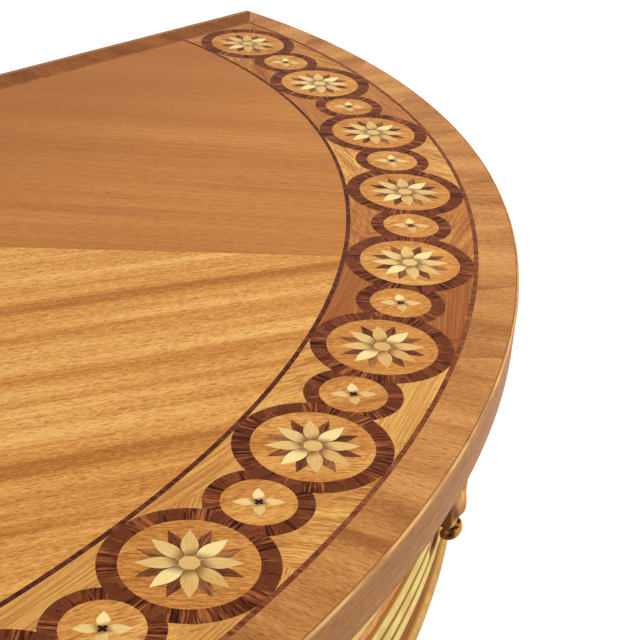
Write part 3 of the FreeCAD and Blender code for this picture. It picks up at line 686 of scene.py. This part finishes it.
def backStrip(name, node, outer, inner, rim, material, steps=8):
    # along the back edge, its ends following the mitres of the rim's strips
    outer, inner, rim = topLines[outer], topLines[inner], topLines[rim]
    ends = []
    for step in range(steps + 1):
        setIn = outer + (inner - outer) * step / steps
        inset = rim + (inner - rim) * step / steps
        ends.append(((halfWidth - inset) * cos(backAngle(inset, setIn)), backY - setIn))
    outline = ends + [(-x, y) for x, y in reversed(ends)]
    inlaid(name, node, [{"outline": outline, "grain": alongGrain(quarter)}], material)


strip("rimCrossband", "rim_crossband", "arris", "border", ("lipping", "border"), crossBand, 24.0)
strip("outerString", "outer_stringing", "border", "bandStart", ("border", "bandStart"), stringWood)
strip("innerString", "inner_stringing", "bandEnd", "fieldStart", ("bandStart", "bandStart"), innerWood)
backStrip("backCrossband", "back_crossband", "lipping", "border", "arris", backCross)
backStrip("backString", "back_stringing", "border", "bandStart", "border", backWood)


def arcAngles(inset, lengths, steps=4000):
    # length of the half ellipse, and its angles at these lengths along it
    points = [bowPoint(inset, pi * step / steps) for step in range(steps + 1)]
    runs = [0.0]
    for before, after in zip(points, points[1:]):
        runs.append(runs[-1] + (after - before).length)
    return runs[-1], [pi * next(i for i, run in enumerate(runs) if run >= min(want, runs[-1])) / steps
                      for want in lengths]


# tones of the veneers from each end to the middle, and how far the grain turns from one to the next
bandSettings = {"turns": 2.39996, "tones": [0.45, 0.48, 0.4, 0.74, 0.4, 0.15, 0.88, 0.66, 0.72], "steps": 24}


def layBand():
    # spandrels of the band, an outer and an inner one between each pair of large rings and at each end
    tones = bandSettings["tones"]
    rings = 2 * len(tones) - 1
    span = (arcAngles(bandMiddle, [])[0] - 2 * bandMiddle) / (rings - 1)
    cuts = arcAngles(bandMiddle, [bandMiddle + span * index for index in range(rings)])[1]
    insets = [bandStart, bandMiddle, bandEnd]
    pieces = []
    for index in range(rings + 1):
        for row in range(2):
            sides = []
            for inset in insets[row:row + 2]:
                corner = backAngle(inset, bandStart)
                first = corner if index == 0 else cuts[index - 1]
                last = pi - corner if index == rings else cuts[index]
                sides.append(bowRun(inset, first, last, bandSettings["steps"]))
            grain = alongGrain(bandSettings["turns"] * (2 * index + row))
            pieces.append({"outline": sides[0] + sides[1][::-1], "grain": grain,
                           "seed": tones[min(index, rings - index)]})
    inlaid("bandGround", "band_ground", pieces, satinBand, 3)


fieldSettings = {"grain": [-50, -25, 205, 230], "seeds": [0.12, 0.78, 0.62, 0.2], "steps": 90}


def layField():
    edge, setIn = topLines["fieldStart"], topLines["bandStart"]
    corner = backAngle(edge, setIn)
    names = ["field_panel_right", "field_panel_centre_right", "field_panel_centre_left", "field_panel_left"]
    feet = [[setIn], [0, setIn], [-setIn, 0], [-setIn]]     # corners of each panel on the back line
    woods = [satinRed, satinField, satinField, satinRed]

    def edgeAngle(seam):
        # angle of the half ellipse where a ray from the middle of the back edge meets it
        turn = seam * pi / len(names)
        return atan2(sin(turn) / (depth - edge), cos(turn) / (halfWidth - edge))

    for index, node in enumerate(names):
        low, high = max(edgeAngle(index), corner), min(edgeAngle(index + 1), pi - corner)
        outline = bowRun(edge, low, high, fieldSettings["steps"])
        outline += [Vector((x, backY - setIn)) for x in feet[index]]
        grain = alongGrain(radians(fieldSettings["grain"][index]))
        piece = {"outline": outline, "grain": grain, "seed": fieldSettings["seeds"][index]}
        inlaid("fieldPanel" + str(index + 1), node, [piece], woods[index])


layBand()
layField()
print("field, strings and crossbanding laid")

# roundels
roundelSettings = {
    "count": 33, "steps": 1441, "seed": 11, "largeOuter": 36.9 * mm, "largeInner": 28.5 * mm,
    "smallOuter": 24.2 * mm, "smallInner": 16.6 * mm, "largeSegments": 24, "smallSegments": 18,
    "petals": 8, "petalFoot": 4.0 * mm, "petalTip": 22.0 * mm, "petalWidth": 7.2 * mm, "petalHeel": 2.0 * mm,
    "pointFoot": 6 * mm, "pointTip": 23.3 * mm, "pointWidth": 6.0 * mm, "pointHeel": 1 * mm,
    "button": 4.3 * mm, "buttonTone": 0.35, "smallFoot": 1.4 * mm, "smallWidth": 5.0 * mm,
    "smallTips": [10.2 * mm, 11.6 * mm, 10.2 * mm, 11.6 * mm], "eye": 1.8 * mm, "eyePoints": 0.35,
    "largeGrain": radians(135), "smallGrain": radians(-20), "pieceStep": 0.61803,
    # each petal's tone by its direction, alike in every flower: a painted sheen of the grain
    "largeTones": [1.0, 0.34, 0.5, 0.44, 1.0, 0.3, 0.22, 0.4], "smallTones": [0.95, 0.5, 0.3, 0.45],
}


def circle(radius, steps=96, points=0.0):
    # round, or drawn out to four points by this share
    turns = [tau * step / steps for step in range(steps)]
    return [polar(radius * (1 + points * cos(4 * turn)), turn) for turn in turns]


def petalOutline(angle, foot, tip, width, heel, steps=10):
    # a pointed oval: widest a little nearer the heart
    cosine, sine = cos(angle), sin(angle)
    side = []
    for step in range(steps + 1):
        share = step / steps
        swell = max(0, sin(pi * share ** 0.84)) ** 1.12
        half = heel / 2 * (1 - share) + (width / 2 - heel / 4) * swell
        side.append((foot + (tip - foot) * share, half))
    outline = [(along, -half) for along, half in side] + [(along, half) for along, half in side[-2::-1]]
    return [(along * cosine - half * sine, along * sine + half * cosine) for along, half in outline]


def pieceSeed(index):
    return roundelSettings["pieceStep"] * index % 1


def ringPieces(outer, inner, segments, steps=5):
    pieces = []
    for index in range(segments):
        angles = [tau * (index + step / steps) / segments for step in range(steps + 1)]
        outline = [polar(outer, angle) for angle in angles]
        outline += [polar(inner, angle) for angle in reversed(angles)]
        middle = tau * (index + 0.5) / segments
        pieces.append({"outline": outline, "grain": alongGrain(middle), "seed": pieceSeed(index)})
    return pieces


def flowerPetals(first, foot, tips, width, heel, tones):
    # each scorched from its foot, more on one side
    pieces = []
    for index, (tip, tone) in enumerate(zip(tips, tones)):
        angle = first + tau * index / len(tones)
        side = (-sin(angle), cos(angle))

        def burn(x, y, tip=tip, side=side):
            along, across = (hypot(x, y) - foot) / (tip - foot), (x * side[0] + y * side[1]) / width
            return 1.15 - along * 2.6 - across * 0.5

        pieces.append({"outline": petalOutline(angle, foot, tip, width, heel), "grain": alongGrain(angle),
                       "tone": tone, "burn": burn})
    return pieces


def flowerPoints(given):
    # dark petals that show between the pale ones
    sizes = [given[name] for name in ("pointFoot", "pointTip", "pointWidth", "pointHeel")]
    pieces = []
    for index in range(given["petals"]):
        angle = tau * (index + 0.5) / given["petals"]
        outline = petalOutline(angle, *sizes)
        pieces.append({"outline": outline, "grain": alongGrain(angle), "seed": pieceSeed(index)})
    return pieces


def layRoundels(given):
    large, small = alongGrain(given["largeGrain"]), alongGrain(given["smallGrain"])
    largeRing = ringPieces(given["largeOuter"], given["largeInner"], given["largeSegments"])
    smallRing = ringPieces(given["smallOuter"], given["smallInner"], given["smallSegments"])
    petals = flowerPetals(0, given["petalFoot"], [given["petalTip"]] * given["petals"], given["petalWidth"],
                          given["petalHeel"], given["largeTones"])
    smallPetals = flowerPetals(pi / 4, given["smallFoot"], given["smallTips"], given["smallWidth"],
                               given["eye"], given["smallTones"])
    button = {"outline": circle(given["button"], 32), "grain": small, "tone": given["buttonTone"]}
    eye = {"outline": circle(given["eye"], 48, given["eyePoints"]), "grain": small}
    plan = {                                        # pieces, how many hairs under the top, wood
        "large_rings": (largeRing, 1, rosewood),
        "small_rings": (smallRing, 2, rosewood),
        "large_grounds": ([{"outline": circle(given["largeInner"]), "grain": large}], 1, satinGround),
        "small_grounds": ([{"outline": circle(given["smallInner"]), "grain": small}], 0.75, satinGround),
        "large_points": (flowerPoints(given), 0.5, pointWood),
        "large_petals": (petals, 0.25, boxwood),
        "large_buttons": ([button], 0, boxwood),
        "small_petals": (smallPetals, 0.5, boxwood),
        "small_eyes": ([eye], 0, burntEye),
    }
    for node, (pieces, drop, material) in plan.items():
        name = pieceName(node)
        odd = 1 if node.startswith("small") else 0
        source = linkPiece(name + "Source", inlayMesh(name, pieces, 0, veneer - drop * hair))
        piece = growPiece(name, roundels, material, {
            "Inset": bandMiddle, "First": bandMiddle, "Steps": given["steps"], "Count": given["count"],
            "Odd": odd, "Height": topZ - drop * hair, "Source": source, "Seed": given["seed"] + odd})
        bpy.data.objects.remove(source)
        settle(piece, node)


layRoundels(roundelSettings)
print("roundels laid")

# edge of the top and mouldings of the apron


def profileOf(name, points, hollows):
    # closed outline: outwards and up, drawn on a profile plane whose y points down
    edges = [(index, (index + 1) % len(points)) for index in range(len(points))]
    return hollowed(name, [(x, -y, 0) for x, y in points], edges, [], hollows)


def moulding(name, profile, inset, first, last, height, material, steps=241):
    return growPiece(name, bowMoulding, material, {
        "Inset": inset, "First angle": first, "Last angle": last, "Height": height, "Steps": steps,
        "Profile": profile})


def roundFace(half, rise, sunk, clean, fade=0.5, steps=24):
    # section of a round-faced strip: half its height, how far it stands out and is let in, share kept clean
    turns = [-quarter + pi * step / steps for step in range(steps + 1)]
    points = [(rise * cos(turn), half * sin(turn)) for turn in turns]
    hollows = [max(0, (abs(sin(turn)) - clean) / fade) for turn in turns]
    return [(-sunk, -half)] + points + [(-sunk, half)], [1.0] + hollows + [1.0]


lippingSettings = {
    # wear of the corners of its section with a painted highlight along the arris, from the core round to the
    # top; below 0 is dirt
    "wear": [0.0, 0.0, 0.0, 0.0, 0.0, 0.0, 0.1, 0.5, 0.9, 0.9, 0.5, -0.3, -0.8, 0.0],
    "ease": 0.4 * mm, "arrisSteps": 8, "steps": 481, "smooth": 40,
}


def edgeLipping(given):
    width, height, arris = topLines["lipping"], topZ - underZ, topLines["arris"]
    points = [(-width, -2 * hair), (-width, -height), (-given["ease"], -height), (0, -height + given["ease"])]
    for step in range(given["arrisSteps"] + 1):
        x, y = polar(arris, quarter * step / given["arrisSteps"])
        points.append((-arris + x, -arris + y))
    points.append((-arris - hair, -2 * hair))
    profile = profileOf("lippingProfile", points, given["wear"])
    piece = moulding("edgeLipping", profile, 0, 0, pi, topZ, edgeWood, given["steps"])
    bpy.data.objects.remove(profile)
    settle(piece, "edge_lipping", given["smooth"])


def insideAngle(point, inset):
    return atan2((backY - point.y) / (depth - inset), point.x / (halfWidth - inset))


def joined(name, parts):
    shape = bmesh.new()
    for part in parts:
        shape.from_mesh(part.data)
    mesh = bpy.data.meshes.new(name)
    shape.to_mesh(mesh)
    shape.free()
    mesh.materials.append(parts[0].data.materials[0])
    for part in parts:
        bpy.data.objects.remove(part)
    return linkPiece(name, mesh)


facingInset = insetOf("frieze_facing")
apronSettings = {
    "reeds": 3, "reedRise": 2 * mm, "letIn": 1 * mm, "reedClean": 0.42, "beadClean": 0.7, "smooth": 60,
}


def apronMoulding(node, material, given):
    low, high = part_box(node)
    reeded = node.startswith("reeds")
    rows = given["reeds"] if reeded else 1
    half = (high.z - low.z) / rows / 2
    rise, clean = (given["reedRise"], given["reedClean"]) if reeded else (half, given["beadClean"])
    profile = profileOf("mouldingProfile", *roundFace(half, rise, given["letIn"], clean))
    parts = []
    for row in range(rows):
        height = low.z + half * (2 * row + 1)
        corners = [vert.co for vert in nodes[node].data.vertices if abs(vert.co.z - height) < 0.8 * half]
        angles = [insideAngle(corner, facingInset) for corner in corners]
        name = node + "Run" + str(row)
        parts.append(moulding(name, profile, facingInset, min(angles), max(angles), height, material))
    bpy.data.objects.remove(profile)
    settle(joined(node.replace("_", "") + "Moulding", parts), node, given["smooth"])


edgeLipping(lippingSettings)
apronMoulding("base_torus", torusGilt, apronSettings)
for kind in ("bead", "reeds"):
    for side in ("right", "centre", "left"):
        apronMoulding(kind + "_" + side, highlitGilt, apronSettings)
print("edge and mouldings made")

# turned legs, fluted and carved
legSettings = {
    # foot, radius there, radius at the top and swell of each part, in mm
    "turning": [("foot", 0, 13, 12, 7.5), ("lowerRing", 62, 15.5, 15.5, 4), ("shaft", 71, 15.5, 25, 0),
                ("collar", 605, 25, 25, 5.2), ("neck", 617, 25, 25, -5), ("upperRing", 641, 25, 25, 4),
                ("capital", 650, 25, 29.5, -3)],
    "flutes": 12, "fluteFill": 0.68, "fluteDepth": 0.8, "fluteMargin": 18, "sides": 20, "shaftSteps": 90,
    "pearls": 24, "pearlDepth": 1.3, "ropeTurns": 20, "ropeDepth": 0.9, "capitalLeaves": 8, "leafDepth": 2.2,
    "headSize": 60, "headEdge": 1.2, "frontAngle": 60, "smooth": 50,
}


def fluteDepth(level, radius, side, low, high):
    # depth of the round hollow at this height, side runs from -1 to 1 across one flute's share
    half = radius * pi / legSettings["flutes"] * legSettings["fluteFill"]
    reach = min(1, max(0, (level - low + half) / half), max(0, (high + half - level) / half))
    half *= sqrt(reach * (2 - reach))
    across = side * radius * pi / legSettings["flutes"]
    return legSettings["fluteDepth"] * sqrt(max(0, half ** 2 - across ** 2))


def carvedRadius(part, share, level, radius, turn):
    # relief of each turned part, and how much dirt its hollows hold
    given = legSettings
    edge = max(0, 1 - min(share, 1 - share) * 12)
    if part == "shaft":
        starts = {name: foot for name, foot, *rest in given["turning"]}
        low, high = starts["shaft"] + given["fluteMargin"], starts["collar"] - given["fluteMargin"]
        place = turn * given["flutes"] / tau % 1
        cut = fluteDepth(level, radius, 2 * place - 1, low, high)
        return radius - cut, 0.09 * cut + edge * 0.2
    if part.endswith("Ring"):
        notch = 1 - abs(sin(turn * given["pearls"] / 2)) ** 0.7
        return radius - given["pearlDepth"] * notch, 0.7 * notch + 0.5 * edge
    if part == "collar":
        wave = 0.5 - 0.5 * cos(turn * given["ropeTurns"] + share * pi)
        return radius - given["ropeDepth"] * (1 - wave), 0.6 * (1 - wave) + 0.4 * edge
    if part == "capital":
        leaf = turn * given["capitalLeaves"] / tau % 1 * 2 - 1
        lip = max(0, 1 - abs(leaf) / max(0.05, 1 - 0.75 * share ** 3)) ** 0.5
        vein = 0.25 * cos(leaf * 14) * (1 - share)
        return radius - given["leafDepth"] * (1 - lip) + vein, 0.85 * (1 - lip) + 0.3 * edge
    return radius, 0.5 * edge


def turnedLeg(node, angle):
    given = legSettings
    low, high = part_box(node)
    axis = (low + high) / 2
    around = given["flutes"] * given["sides"]
    parts = given["turning"]
    ends = [foot for part, foot, *rest in parts[1:]] + [apronZ / mm]
    rings = []
    for (part, foot, start, end, swell), top in zip(parts, ends):
        steps = given["shaftSteps"] if part == "shaft" else max(6, int((top - foot) / 2))
        for step in range(steps + 1):
            share = step / steps
            if part == "shaft":                     # closer levels where the flutes end
                share = 0.5 - 0.5 * cos(pi * share)
            rings.append((part, share, foot + (top - foot) * share,
                          start + (end - start) * share + swell * 4 * share * (1 - share)))
    verts, hollows, faces = [], [], []
    for part, share, level, radius in rings:
        for side in range(around):
            turn = tau * side / around
            reach, hollow = carvedRadius(part, share, level, radius, turn)
            x, y = polar(reach * mm, turn + angle)
            verts.append((x + axis.x, y + axis.y, level * mm))
            hollows.append(hollow)
    last = (len(rings) - 1) * around
    for ring in range(0, last, around):
        for side in range(around):
            after = (side + 1) % around
            faces.append((ring + side, ring + after, ring + around + after, ring + around + side))
    faces.append(list(range(around))[::-1])
    faces.append(list(range(last, last + around)))
    leg = hollowed(pieceName(node), verts, [], faces, hollows)
    leg.data.materials.append(baseGilt)
    addHead(leg.data, axis, angle, high.z)
    settle(leg, node, given["smooth"])


def addHead(mesh, axis, angle, top):
    # the square block that the rails are joined to, its edges eased
    size = legSettings["headSize"] * mm
    block = bmesh.new()
    block.from_mesh(mesh)
    place = Matrix.Translation((axis.x, axis.y, (apronZ + top) / 2)) @ Matrix.Rotation(angle, 4, "Z")
    place = place @ Matrix.Diagonal((size, size, top - apronZ, 1))
    cube = bmesh.ops.create_cube(block, size=1, matrix=place)
    edges = list({edge for vert in cube["verts"] for edge in vert.link_edges})
    bmesh.ops.bevel(block, geom=edges, offset=legSettings["headEdge"] * mm, segments=2, profile=0.5,
                    affect="EDGES")
    block.to_mesh(mesh)
    block.free()


def bowTurn(angle):
    normal = bowNormal(facingInset, angle)
    return atan2(normal.y, normal.x)


frontAngle = radians(legSettings["frontAngle"])
rearAngle = backAngle(facingInset, backY - sum(corner.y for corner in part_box("leg_rear_right")) / 2)
legPlaces = {                                       # angle along the bow, and how the leg's head is turned
    "front_right": (frontAngle, bowTurn(frontAngle)),
    "front_left": (pi - frontAngle, bowTurn(pi - frontAngle)),
    "rear_right": (rearAngle, 0),
    "rear_left": (pi - rearAngle, pi),
}
for place, (angle, turn) in legPlaces.items():
    turnedLeg("leg_" + place, turn)
print("legs turned")

# carved leaf over each leg: a sheet that hollows, flares and rolls over at its tip
leafSettings = {
    # outwards and up from the leaf's foot, in mm, from the top down into the roll
    "path": [(7.0, 87), (10.4, 80), (12.0, 67), (12.6, 52), (12.8, 40), (12.7, 29), (12.2, 21), (10.9, 16.4),
             (9.2, 13.2), (8.2, 10.2), (8.7, 7.9), (10.2, 7.0), (11.7, 7.8), (12.2, 9.6), (11.5, 11.2)],
    "halfWidth": [22, 25.5, 25.5, 24, 22, 20, 17.5, 14.5, 12, 10.5, 9.5, 8.5, 8, 7.5, 7],
    "across": 36, "along": 8, "lobes": 5, "lobeDepth": 0.13, "drop": 4.2, "rib": 1.5, "ribWidth": 0.13,
    "vein": 0.8, "rollStart": 0.6, "rollFade": 0.1, "sheet": 2.0, "stock": 2.4, "sunk": 0.8,
    "rearWidth": 0.97, "smooth": 60,
}


def smoothRow(values, steps):
    # Catmull-Rom through the given values
    row = []
    for index in range(len(values) - 1):
        before, here = values[max(0, index - 1)], values[index]
        after, beyond = values[index + 1], values[min(len(values) - 1, index + 2)]
        for step in range(steps):
            t = step / steps
            bend = (2 * before - 5 * here + 4 * after - beyond) * t * t
            row.append(0.5 * (2 * here + (after - before) * t + bend
                              + (3 * here - before - 3 * after + beyond) * t ** 3))
    return row + [values[-1]]


def carvedLeaf(node, angle):
    given = leafSettings
    out = smoothRow([point[0] for point in given["path"]], given["along"])
    up = smoothRow([point[1] for point in given["path"]], given["along"])
    wide = smoothRow(given["halfWidth"], given["along"])
    rows, columns = len(out), given["across"] + 1
    front, rear, frontHollows, rearHollows = [], [], [], []
    for row in range(rows):
        before, after = max(0, row - 1), min(rows - 1, row + 1)
        run = Vector((out[after] - out[before], up[after] - up[before])).normalized()
        face = Vector((-run.y, run.x))
        share = row / (rows - 1)
        rolled = min(1, max(0, share - given["rollStart"]) / given["rollFade"])
        thick = max(given["stock"], out[row] + given["sunk"]) if share < 0.5 else given["sheet"]
        for column in range(columns):
            u = 2 * column / (columns - 1) - 1
            lobe = 1 - given["lobeDepth"] * abs(cos(pi * given["lobes"] * share)) * abs(u) ** 3
            rib = given["rib"] * exp(-(u / given["ribWidth"]) ** 2)
            vein = given["vein"] * cos(tau * (given["lobes"] * share + 0.9 * abs(u))) * (1 - u ** 4)
            fall = given["drop"] * abs(u) ** 2.2 * (1 - 0.5 * share)
            side = wide[row] * u * lobe
            stand = out[row] - fall
            front.append((side, stand + face.x * (rib + vein), up[row] + face.y * (rib + vein)))
            rear.append((side * given["rearWidth"], stand - face.x * thick, up[row] - face.y * thick))
            # darker inside the roll: dirt, and painted shade there
            frontHollows.append(0.45 - 0.5 * vein - 0.35 * rib + 0.25 * u ** 6 + 0.6 * rolled)
            rearHollows.append(0.9 - 0.6 * rolled)
    normal = bowNormal(facingInset, angle)
    along = Vector((normal.y, -normal.x, 0))
    foot = bowPoint(facingInset, angle) + Vector((0, 0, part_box(node)[0].z))
    corners = [foot + along * (x * mm) + normal * (y * mm) + Vector((0, 0, z * mm))
               for x, y, z in front + rear]
    size = rows * columns
    faces = []
    for row in range(rows - 1):
        for column in range(columns - 1):
            a = row * columns + column
            quad = (a, a + 1, a + columns + 1, a + columns)
            faces.append(quad)
            faces.append(tuple(corner + size for corner in reversed(quad)))
    border = list(range(columns)) + [row * columns + columns - 1 for row in range(1, rows)]
    border += [size - 1 - column for column in range(1, columns)]
    border += [row * columns for row in range(rows - 2, 0, -1)]
    for corner, after in zip(border, border[1:] + border[:1]):
        faces.append((corner, corner + size, after + size, after))
    leaf = hollowed(pieceName(node), corners, [], faces, frontHollows + rearHollows)
    leaf.data.materials.append(leafGilt)
    settle(leaf, node, given["smooth"])


for place, (angle, turn) in legPlaces.items():
    carvedLeaf("leaf_" + place, angle)
print("leaves carved")

# plain CAD pieces get their finish
finishes = {
    carcaseAlong: ["top_core", "back_rail", "rail_tenons", "glue_blocks", "apron_rail_centre"],
    carcaseDeep: ["bearer_left", "bearer_right", "apron_rail_left", "apron_rail_right"],
    backEdge: ["back_lipping"], friezeGilt: ["frieze_facing"], steel: ["top_screws"],
}
for material, names in finishes.items():
    for name in names:
        mesh = nodes[name].data
        if not mesh.materials:
            mesh.materials.append(material)
        for slot in nodes[name].material_slots:
            slot.material = material
print("carried-over pieces finished")


# room, light and camera


def seenShare():
    # 1 for what the camera sees, straight or in metal and glass
    path = Sock.add("ShaderNodeLightPath", output="Is Camera Ray")
    seen = path.math("MAXIMUM", path, path.out("Is Glossy Ray"))
    return seen.math("MAXIMUM", seen, path.out("Is Transmission Ray"))


# the floor glows where it is seen, less near the table, so that the shadow there is kept
stageSettings = {
    "reach": 12, "floor": (0.86, 0.86, 0.86, 1), "white": (1, 1, 1, 1), "glow": 1.25,
    "glowShare": (0.9, 1.8, 0.62, 0.92), "roomLight": 0.36,
}


def setFloor(given):
    mesh = bpy.data.meshes.new("studioFloor")
    reach = given["reach"]
    mesh.from_pydata([(-reach, -reach, 0), (reach, -reach, 0), (reach, reach, 0), (-reach, reach, 0)], [],
                     [(0, 1, 2, 3)])
    material, shader = newMaterial("paleFloor")
    Sock.feed(shader, {"Base Color": given["floor"], "Roughness": 0.9})
    glow = Sock.add("ShaderNodeEmission", {"Color": given["white"], "Strength": given["glow"]})
    away = Sock.add("ShaderNodeVectorMath", {0: objectSpace()}, "Value", operation="LENGTH")
    share = seenShare() * away.ramp(*given["glowShare"])
    seen = Sock.add("ShaderNodeMixShader", {0: share, 1: Sock(shader.outputs[0]), 2: glow})
    Sock.feed(Sock.tree.nodes["Material Output"], {"Surface": seen})
    mesh.materials.append(material)
    linkPiece("studioFloor", mesh)


def setRoom(given):
    world = bpy.data.worlds.new("studio")
    scene.world = world
    world.use_nodes = True
    Sock.tree = world.node_tree
    strength = given["roomLight"] + (1 - given["roomLight"]) * seenShare()
    Sock.feed(Sock.tree.nodes["Background"], {"Color": given["white"], "Strength": strength})


lampSettings = {
    "keyLight": {"spot": (1.5, -1.2, 2.5), "aim": (0.2, 0, 0.8), "size": (2.0, 1.6), "power": 56},
    "fillLight": {"spot": (-2.4, -1.8, 2.0), "aim": (0, 0, 0.6), "size": (2.0, 2.0), "power": 15},
}


def softBox(name, spot, aim, size, power):
    lamp = bpy.data.lights.new(name, "AREA")
    lamp.shape = "RECTANGLE"
    lamp.size, lamp.size_y = size
    lamp.energy = power
    box = linkPiece(name, lamp)
    box.location = spot
    box.rotation_euler = (Vector(aim) - Vector(spot)).to_track_quat("-Z", "Y").to_euler()


cameraSettings = {
    "place": (-0.23634, -0.54185, 1.22353), "right": (0.65017, -0.75688, 0.06647),
    "up": (0.32072, 0.35270, 0.87906), "ahead": (0.68878, 0.55022, -0.47205), "lens": 83.022, "sensor": 36,
}


def setCamera(given):
    lens = bpy.data.cameras.new("camera")
    lens.sensor_width = given["sensor"]
    lens.lens = given["lens"]
    lens.clip_start = 0.01
    camera = linkPiece("camera", lens)
    turn = Matrix((given["right"], given["up"], -Vector(given["ahead"]))).transposed().to_4x4()
    camera.matrix_world = Matrix.Translation(given["place"]) @ turn
    scene.camera = camera


setFloor(stageSettings)
setRoom(stageSettings)
for name, settings in lampSettings.items():
    softBox(name, **settings)
setCamera(cameraSettings)
scene.view_settings.view_transform = "Standard"
print("stage set")
